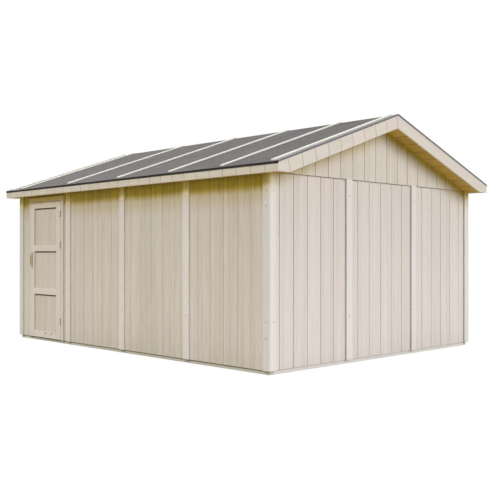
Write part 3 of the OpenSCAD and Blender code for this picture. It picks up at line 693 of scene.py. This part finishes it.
def fixing_heads(name, points, out, radius, material, recess=0.0, slot="hinge_steel"):
    """Round heads on a face, as one piece; a recess makes them screws."""
    heads = Boards()
    turn = Z.rotation_difference(out).to_matrix()
    for point in points:
        head = bmesh.new()
        bmesh.ops.create_cone(head, cap_ends=True, segments=12, radius1=radius,
                              radius2=radius * HEAD_TAPER, depth=HEAD_RISE + HEAD_ROOT)
        if recess:
            top = max(head.faces, key=lambda face: face.calc_center_median().z)
            bmesh.ops.inset_region(head, faces=[top], thickness=radius * HEAD_RIM)
            bmesh.ops.translate(head, verts=top.verts[:], vec=(0, 0, -recess))
        bmesh.ops.rotate(head, verts=head.verts[:], matrix=turn)
        bmesh.ops.translate(head, verts=head.verts[:], vec=point + out * (HEAD_RISE - HEAD_ROOT) / 2)
        head.normal_update()
        heads.add(head, Z, X)
    heads.piece(name, "garage", slot, material)


def wall_boarding(wall, nodes, material, pitch, groove):
    """Boards and nails of the given wall nodes."""
    _, out, first = WALLS[wall]
    place = on_wall(wall)
    nails = []
    for node in nodes:
        boards = Boards()
        for low, high in extents_of(node):
            left, right, back, face = wall_span(wall, low, high)
            stops = joints_between(left, right, first, pitch)
            tongued_boards(boards, stops, place, back, face, lambda a: low.z,
                           lambda a: high.z - HEAD_GAP, groove)
            middle = (low.z + high.z) / 2
            heights = (low.z + NAIL_EDGE, middle, high.z - NAIL_EDGE)
            if high.z - low.z < 4 * NAIL_EDGE:
                heights = (middle,)
            nails += [place(a0 + (a1 - a0) * share, face, height)
                      for a0, a1 in zip(stops, stops[1:]) for share in (0.25, 0.75) for height in heights]
        boards.piece("boarding." + node, "garage", "wall_timber", material, [node])
    fixing_heads("nails." + wall, nails, out, NAIL_R, nail_head)


wall_boarding("door_side", ["door_side_wall_boards", "door_bay_boards", "door_bay_head_boards"],
              side_boarding, SIDE_PITCH, SIDE_GROOVE)
wall_boarding("far_side", ["far_side_wall_boards"], side_boarding, SIDE_PITCH, SIDE_GROOVE)
wall_boarding("rear", ["rear_wall_boards"], rear_boarding, END_PITCH, END_GROOVE)
wall_boarding("front", ["front_pier_boards", "front_lintel_boards"], rear_boarding, END_PITCH, END_GROOVE)


def gable_boarding(wall, node):
    """Upright boards of a gable triangle, cut to the slope at the top."""
    low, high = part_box(node)
    left, right, back, face = wall_span(wall, low, high)
    stops = joints_between(left, right, left + GABLE_FIRST, GABLE_PITCH)
    boards = Boards()
    tongued_boards(boards, stops, on_wall(wall), back, face, lambda a: low.z,
                   lambda a: high.z - SLOPE * abs(a), END_GROOVE, kinks=(0.0,))
    boards.piece("boarding." + node, "garage", "wall_timber", gable_timber, [node])


gable_boarding("rear", "rear_gable_boards")
gable_boarding("front", "front_gable_boards")


# ---- roof ------------------------------------------------------------------------

def ridgewise_boards(node, material):
    """Roof or soffit boards parallel to the ridge, with their joints open underneath."""
    boards = Boards()
    for low, high in extents_of(node):
        side = 1 if low.x + high.x > 0 else -1
        near, far = sorted((abs(low.x), abs(high.x)))
        slope = SLOPE if high.z - low.z > SLOPE * (far - near) else 0.0
        top = high.z + slope * near

        def place(a, b, c):
            return Vector((side * a, c, top - slope * a - b))

        stops = joints_between(near, far, 0, DECK_PITCH)
        tongued_boards(boards, stops, place, 0, top - slope * far - low.z, lambda a: low.y,
                       lambda a: high.y, SOFFIT_GROOVE)
    boards.piece("boarding." + node, "garage", "frame_timber", material, [node])


ridgewise_boards("door_side_roof_boards", sawn_timber)
ridgewise_boards("far_side_roof_boards", sawn_timber)
ridgewise_boards("eave_soffits", soffit_timber)
ridgewise_boards("rear_verge_soffits", soffit_timber)
ridgewise_boards("front_verge_soffits", soffit_timber)


def felt_sheet(node, side):
    """Felt laid over one slope, with slight waves, turned down at the eave and the verges."""
    low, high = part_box(node)
    eave = max(abs(low.x), abs(high.x))
    plumb = FELT_T / math.cos(ROOF_PITCH)
    across = [eave * i / FELT_ROWS for i in range(FELT_ROWS)] + [eave - bend for bend in FELT_BENDS]
    battens = sorted(extents_of(node.replace("felt", "battens")), key=lambda box: box[0].y)
    first, last = battens[1][0].y, battens[-1][1].y
    lengths = math.ceil((last - first) / FELT_STEP)
    stations = [low.y, battens[0][0].y, battens[0][1].y]
    stations += [first + (last - first) * i / lengths for i in range(lengths + 1)] + [high.y]
    # The felt between the verges and the nearest battens is painted paler, as a painted sheen.
    sheen_strips = (0, 2, len(stations) - 2)
    felt = bmesh.new()

    def wave(x, y):
        edge = min(eave - x, high.y - y, y - low.y, 2 * x)
        inset = min(1.0, edge / FELT_CALM)
        sway = noise.noise(Vector((x * 3.1, y * 2.3, side * 5.0)))
        return -FELT_WAVE * max(0.0, inset) * (0.5 + 0.5 * sway)

    rows = []
    for y in stations:
        rise = VERGE_RISE if y in (low.y, high.y) else 0.0
        top = [(x, roof_z(x) + wave(x, y) + rise) for x in across]
        turned = [(eave, roof_z(eave) - FELT_ROUND), (eave, roof_z(eave) - FELT_DRIP)]
        under = [(eave - FELT_TURN, roof_z(eave) - FELT_DRIP),
                 (eave - FELT_TURN, roof_z(eave - FELT_TURN) - plumb), (0.0, RIDGE_Z - plumb)]
        rows.append([felt.verts.new((side * x, y, z)) for x, z in top + turned + under])
    count = len(rows[0])
    for strip, (near, far) in enumerate(zip(rows, rows[1:])):
        top_finish = 3 if strip in sheen_strips else 0
        for i in range(count):
            j = (i + 1) % count
            face = felt.faces.new((near[i], near[j], far[j], far[i]))
            face.material_index = 1 if i >= len(across) - 1 else top_finish
    for row in (rows[0], rows[-1]):
        felt.faces.new(row).material_index = 2
    bmesh.ops.recalc_face_normals(felt, faces=felt.faces[:])

    for y, inner in ((high.y, high.y - FELT_TURN), (low.y, low.y + FELT_TURN)):
        lip = []
        for face_y in (y, inner):
            outline = [(0.0, FELT_T / 2), (eave, FELT_T / 2), (eave, FELT_LIP), (0.0, FELT_LIP)]
            lip.append([felt.verts.new((side * x, face_y, roof_z(x) - v)) for x, v in outline])
        for i in range(4):
            j = (i + 1) % 4
            felt.faces.new((lip[0][i], lip[0][j], lip[1][j], lip[1][i])).material_index = 2
        for ring in lip:
            felt.faces.new(ring).material_index = 2
    bmesh.ops.recalc_face_normals(felt, faces=felt.faces[:])

    mesh = bpy.data.meshes.new("felt_sheet." + node)
    felt.to_mesh(mesh)
    felt.free()
    for material in (felt_face, felt_edge, felt_fold, felt_verge_sheen):
        mesh.materials.append(material)
    piece = bpy.data.objects.new(mesh.name, mesh)
    bpy.context.scene.collection.objects.link(piece)
    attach(piece, "garage")
    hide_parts(node)


felt_sheet("door_side_felt", 1)
felt_sheet("far_side_felt", -1)

door_side_fall = Vector((math.cos(ROOF_PITCH), 0, -math.sin(ROOF_PITCH)))
far_side_fall = Vector((-math.cos(ROOF_PITCH), 0, -math.sin(ROOF_PITCH)))
timber("door_side_battens", white_paint, door_side_fall, ROUNDED_ARRIS, slot="white_batten")
timber("far_side_battens", white_paint, far_side_fall, ROUNDED_ARRIS, slot="white_batten")


def barge_cuts():
    """Joints of the jointed barge board, leaning with their tops towards the eave."""
    normal = Vector((1, 0, -BUTT_LEAN)).normalized()
    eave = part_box("rear_barge_door_side")[1].x
    joints = joints_between(0, eave, BARGE_FIRST, BARGE_PITCH)[1:-1]
    return [(Vector((x, 0, roof_z(x))), normal) for x in joints]


def fascia_cuts():
    """Joints of the jointed eave boards."""
    low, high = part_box("eave_fascias")
    joints = joints_between(low.y, high.y, high.y - FASCIA_FIRST, FASCIA_PITCH)[1:-1]
    return [(Y * y, Y) for y in joints]


timber("rear_barge_door_side", barge_trim, door_side_fall, cuts=barge_cuts())
timber("rear_barge_far_side", barge_trim, far_side_fall)
timber("front_barge_door_side", barge_trim, door_side_fall)
timber("front_barge_far_side", barge_trim, far_side_fall)
timber("eave_fascias", eave_trim, Y, cuts=fascia_cuts())


# ---- trims and frame ---------------------------------------------------------------

def corner_knots():
    """The two knots low and high in the rear corner board of the door side."""
    middle = Vector((CORNER.x - 0.01, CORNER.y - 0.048, 1.039))
    half_apart = 0.669
    return [(middle, half_apart)]


timber("door_side_cover_strips", side_trim)
timber("far_side_cover_strips", side_trim)
timber("rear_cover_strips", rear_trim)
timber("side_corner_boards", corner_trim, knot_pairs=corner_knots())
timber("gable_corner_boards", rear_trim)
timber("side_sills", side_sill_timber, Y, SAWN_ARRIS, slot="frame_timber", own_cover=True)
timber("end_sills", end_sill_timber, X, SAWN_ARRIS, slot="frame_timber", own_cover=True)

for node, along in (("side_studs", Z), ("end_studs", Z), ("side_rails", Y), ("side_wall_plates", Y),
                    ("ridge_board", Y), ("eave_blocks", Y), ("end_rails", X), ("end_wall_plates", X),
                    ("tie_beams", X), ("rafters", X)):
    timber(node, sawn_timber, along, SAWN_ARRIS, slot="frame_timber")


def trim_screws(wall, nodes):
    """Screws in the middle of the cover strips and corner boards of a wall."""
    _, out, _ = WALLS[wall]
    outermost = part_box(nodes[0])[1].dot(out) if out.x + out.y > 0 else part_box(nodes[0])[0].dot(out)
    points = []
    for node in nodes:
        for low, high in extents_of(node):
            left, right, _, face = wall_span(wall, low, high)
            if face > outermost - ARRIS:
                points += [on_wall(wall)((left + right) / 2, face, height) for height in SCREW_HEIGHTS]
    fixing_heads("trim_screws." + wall, points, out, SCREW_R, dark_iron, recess=HEAD_RISE * 0.7)


trim_screws("door_side", ["door_side_cover_strips", "side_corner_boards"])
trim_screws("far_side", ["far_side_cover_strips", "side_corner_boards"])
trim_screws("rear", ["rear_cover_strips", "gable_corner_boards"])
trim_screws("front", ["gable_corner_boards"])


# ---- doors -------------------------------------------------------------------------

def rail_knots():
    """Two dark knots in the top rail and two in the bottom rail of the side door."""
    low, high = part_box("door_rails")
    middle = (low + high) / 2
    top_pair = Vector((middle.x, middle.y + 0.077, high.z - 0.005))
    top_half_apart = 0.1705
    bottom_pair = Vector((middle.x, middle.y + 0.091, low.z + 0.063))
    bottom_half_apart = 0.08
    return [(top_pair, top_half_apart), (bottom_pair, bottom_half_apart)]


timber("door_jambs", casing_timber)
timber("door_head", casing_timber, Y)
timber("door_threshold", threshold_shade_timber, Y, slot="frame_timber")
timber("door_stiles", door_timber, body="side_door", slot="door_timber")
timber("door_rails", door_timber, Y, body="side_door", slot="door_timber", knot_pairs=rail_knots())
timber("door_panels", panel_timber, body="side_door", slot="door_timber", own_cover=True)
timber("gate_jambs", barge_trim)
timber("gate_head", barge_trim, X)
timber("gate_stiles", barge_trim, slot="door_timber")
timber("gate_rails", barge_trim, X, slot="door_timber")
timber("gate_panels", panel_timber, slot="door_timber", own_cover=True)


def hinge_collars():
    """The dark end rings of the side door's hinges."""
    rings = Boards()
    axis = frame["record"]["behaviour"]["joints"][0]["pos_m"]
    for low, high in extents_of("door_frame_hinges"):
        for height in (low.z + COLLAR_H / 2, high.z - COLLAR_H / 2):
            ring = bmesh.new()
            bmesh.ops.create_cone(ring, cap_ends=True, segments=20, radius1=COLLAR_R, radius2=COLLAR_R,
                                  depth=COLLAR_H)
            bmesh.ops.translate(ring, verts=ring.verts[:], vec=(axis[0], axis[1], height))
            ring.normal_update()
            rings.add(ring, Z, X)
    rings.piece("hinge_collars", "garage", "hinge_steel", dark_iron)


hinge_collars()

for node, metal in (("door_frame_hinges", zinc), ("door_leaf_hinges", zinc), ("gate_hinges", zinc),
                    ("door_plates", plate_bronze), ("door_pull", brass), ("gate_pull", brass)):
    node_mesh = frame["nodes"][node].data
    node_mesh.materials.clear()
    node_mesh.materials.append(metal)


# ---- floor, light and camera ---------------------------------------------------------

def seen_white(tree, hidden):
    """Pure white to the camera, and the given shader to everything else."""
    seen = add(tree, "ShaderNodeLightPath").outputs["Is Camera Ray"]
    white = add(tree, "ShaderNodeEmission", {"Color": (1, 1, 1, 1), "Strength": 1.0})
    return add(tree, "ShaderNodeMixShader", {0: seen, 1: hidden, 2: white.outputs[0]}).outputs[0]


def pale_floor():
    """A wide white floor that throws back a little warm light."""
    mesh = bpy.data.meshes.new("floor")
    reach = 60.0
    corners = [(-reach, -reach, 0), (reach, -reach, 0), (reach, reach, 0), (-reach, reach, 0)]
    mesh.from_pydata(corners, [], [(0, 1, 2, 3)])
    floor = bpy.data.objects.new("floor", mesh)
    paint, tree, shader = finish("floor_paint")
    shader.inputs["Base Color"].default_value = (0.62, 0.60, 0.55, 1)
    shader.inputs["Roughness"].default_value = 0.9
    shader.inputs["Specular IOR Level"].default_value = 0.1
    output = tree.nodes["Material Output"]
    tree.links.new(seen_white(tree, shader.outputs[0]), output.inputs["Surface"])
    mesh.materials.append(paint)
    bpy.context.scene.collection.objects.link(floor)


def surround(strength):
    """Even light from all around."""
    world = bpy.data.worlds.new("studio")
    bpy.context.scene.world = world
    world.use_nodes = True
    tree = world.node_tree
    tree.nodes.clear()
    sky = add(tree, "ShaderNodeBackground", {"Strength": strength, "Color": (1.0, 1.0, 1.0, 1)})
    add(tree, "ShaderNodeOutputWorld", {"Surface": seen_white(tree, sky.outputs[0])})


def lamp(name, towards, energy, angle, colour):
    """A far light that stands in the given direction; a wide angle makes it soft."""
    light = bpy.data.lights.new(name, "SUN")
    light.energy = energy
    light.angle = math.radians(angle)
    light.color = colour
    stand = bpy.data.objects.new(name, light)
    stand.rotation_euler = Vector(towards).to_track_quat("Z", "Y").to_euler()
    bpy.context.scene.collection.objects.link(stand)


def camera_at(place, towards):
    """The camera, level, with the building a little above the middle."""
    lens = bpy.data.cameras.new("camera")
    lens.lens = 58.16
    lens.sensor_width = 36
    lens.shift_y = 0.0144
    lens.clip_end = 200
    camera = bpy.data.objects.new("camera", lens)
    camera.location = place
    camera.rotation_euler = Vector(towards).to_track_quat("-Z", "Y").to_euler()
    bpy.context.scene.collection.objects.link(camera)
    bpy.context.scene.camera = camera


pale_floor()
surround(0.36)
lamp("rear_lamp", (-0.5, 0.77, 0.38), 1.81, 36, (1.0, 0.995, 0.99))
lamp("side_lamp", (0.68, -0.1, 0.72), 1.3, 20, (1.0, 0.97, 0.91))
lamp("front_lamp", (-0.25, -0.85, 0.45), 1.2, 20, (1.0, 0.98, 0.95))
camera_at((7.626, 8.033, 1.2405), (-0.698, -0.716, 0))
bpy.context.scene.view_settings.view_transform = "Standard"
bpy.context.scene.view_settings.look = "None"
